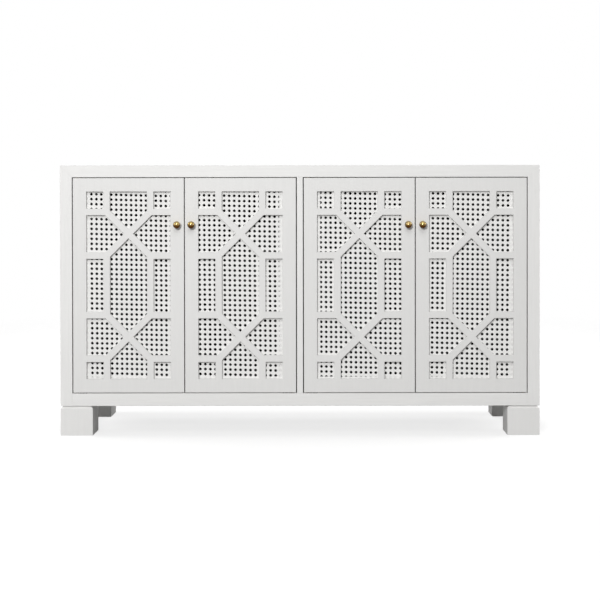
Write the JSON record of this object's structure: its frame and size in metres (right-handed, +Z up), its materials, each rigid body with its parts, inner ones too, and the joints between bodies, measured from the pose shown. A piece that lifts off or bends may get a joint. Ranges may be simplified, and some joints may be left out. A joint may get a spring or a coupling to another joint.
{
  "type": "sideboard",
  "caption": "White painted sideboard on block feet, with hinged fretwork doors over cane webbing, round brass knobs, a centre partition and an adjustable shelf in each bay.",
  "frame": {"origin": "on the floor, at the centre of the whole box, knobs included", "axes": "+X to the right across the doors, -Y out of the front, +Z up"},
  "size_m": [1.524, 0.484, 0.859],
  "materials": {
    "white_lacquer": "satin white lacquer",
    "painted_cane": "painted woven cane",
    "back_board": "painted board",
    "shelf_board": "matte dark paint",
    "polished_brass": "polished",
    "bronzed_brass": "dark bronzed",
    "zinc_steel": "zinc plated",
    "catch_plastic": "moulded"
  },
  "bodies": {
    "case": {"case_top": "white_lacquer", "left_side": "white_lacquer", "right_side": "white_lacquer", "case_bottom": "white_lacquer", "centre_partition": "white_lacquer", "back_panel": "back_board", "left_shelf": "shelf_board", "right_shelf": "shelf_board", "front_left_foot": "white_lacquer", "front_right_foot": "white_lacquer", "back_left_foot": "white_lacquer", "back_right_foot": "white_lacquer", "shelf_pins": "zinc_steel", "case_hinge_screws": "zinc_steel", "catch_screws": "zinc_steel", "foot_screws": "zinc_steel", "back_screws": "zinc_steel", "left_outer_case_leaves": "bronzed_brass", "left_outer_catch": "catch_plastic", "left_inner_case_leaves": "bronzed_brass", "left_inner_catch": "catch_plastic", "right_inner_case_leaves": "bronzed_brass", "right_inner_catch": "catch_plastic", "right_outer_case_leaves": "bronzed_brass", "right_outer_catch": "catch_plastic"},
    "left_outer_door": {"left_outer_door_panel": "white_lacquer", "left_outer_cane": "painted_cane", "left_outer_cane_beads": "white_lacquer", "left_outer_knob": "polished_brass", "left_outer_knob_screw": "zinc_steel", "left_outer_door_leaves": "bronzed_brass", "left_outer_door_screws": "zinc_steel", "left_outer_strike_plate": "zinc_steel"},
    "left_inner_door": {"left_inner_door_panel": "white_lacquer", "left_inner_cane": "painted_cane", "left_inner_cane_beads": "white_lacquer", "left_inner_knob": "polished_brass", "left_inner_knob_screw": "zinc_steel", "left_inner_door_leaves": "bronzed_brass", "left_inner_door_screws": "zinc_steel", "left_inner_strike_plate": "zinc_steel"},
    "right_inner_door": {"right_inner_door_panel": "white_lacquer", "right_inner_cane": "painted_cane", "right_inner_cane_beads": "white_lacquer", "right_inner_knob": "polished_brass", "right_inner_knob_screw": "zinc_steel", "right_inner_door_leaves": "bronzed_brass", "right_inner_door_screws": "zinc_steel", "right_inner_strike_plate": "zinc_steel"},
    "right_outer_door": {"right_outer_door_panel": "white_lacquer", "right_outer_cane": "painted_cane", "right_outer_cane_beads": "white_lacquer", "right_outer_knob": "polished_brass", "right_outer_knob_screw": "zinc_steel", "right_outer_door_leaves": "bronzed_brass", "right_outer_door_screws": "zinc_steel", "right_outer_strike_plate": "zinc_steel"}
  },
  "joints": [
    {"name": "left_outer_hinge", "type": "hinge", "parent": "case", "child": "left_outer_door", "pos_m": [-0.709, -0.207, 0.4775], "axis": [0, 0, -1], "range_deg": [0, 110]},
    {"name": "left_inner_hinge", "type": "hinge", "parent": "case", "child": "left_inner_door", "pos_m": [-0.0245, -0.207, 0.4775], "axis": [0, 0, 1], "range_deg": [0, 85]},
    {"name": "right_inner_hinge", "type": "hinge", "parent": "case", "child": "right_inner_door", "pos_m": [0.0245, -0.207, 0.4775], "axis": [0, 0, -1], "range_deg": [0, 85]},
    {"name": "right_outer_hinge", "type": "hinge", "parent": "case", "child": "right_outer_door", "pos_m": [0.709, -0.207, 0.4775], "axis": [0, 0, 1], "range_deg": [0, 110]}
  ]
}
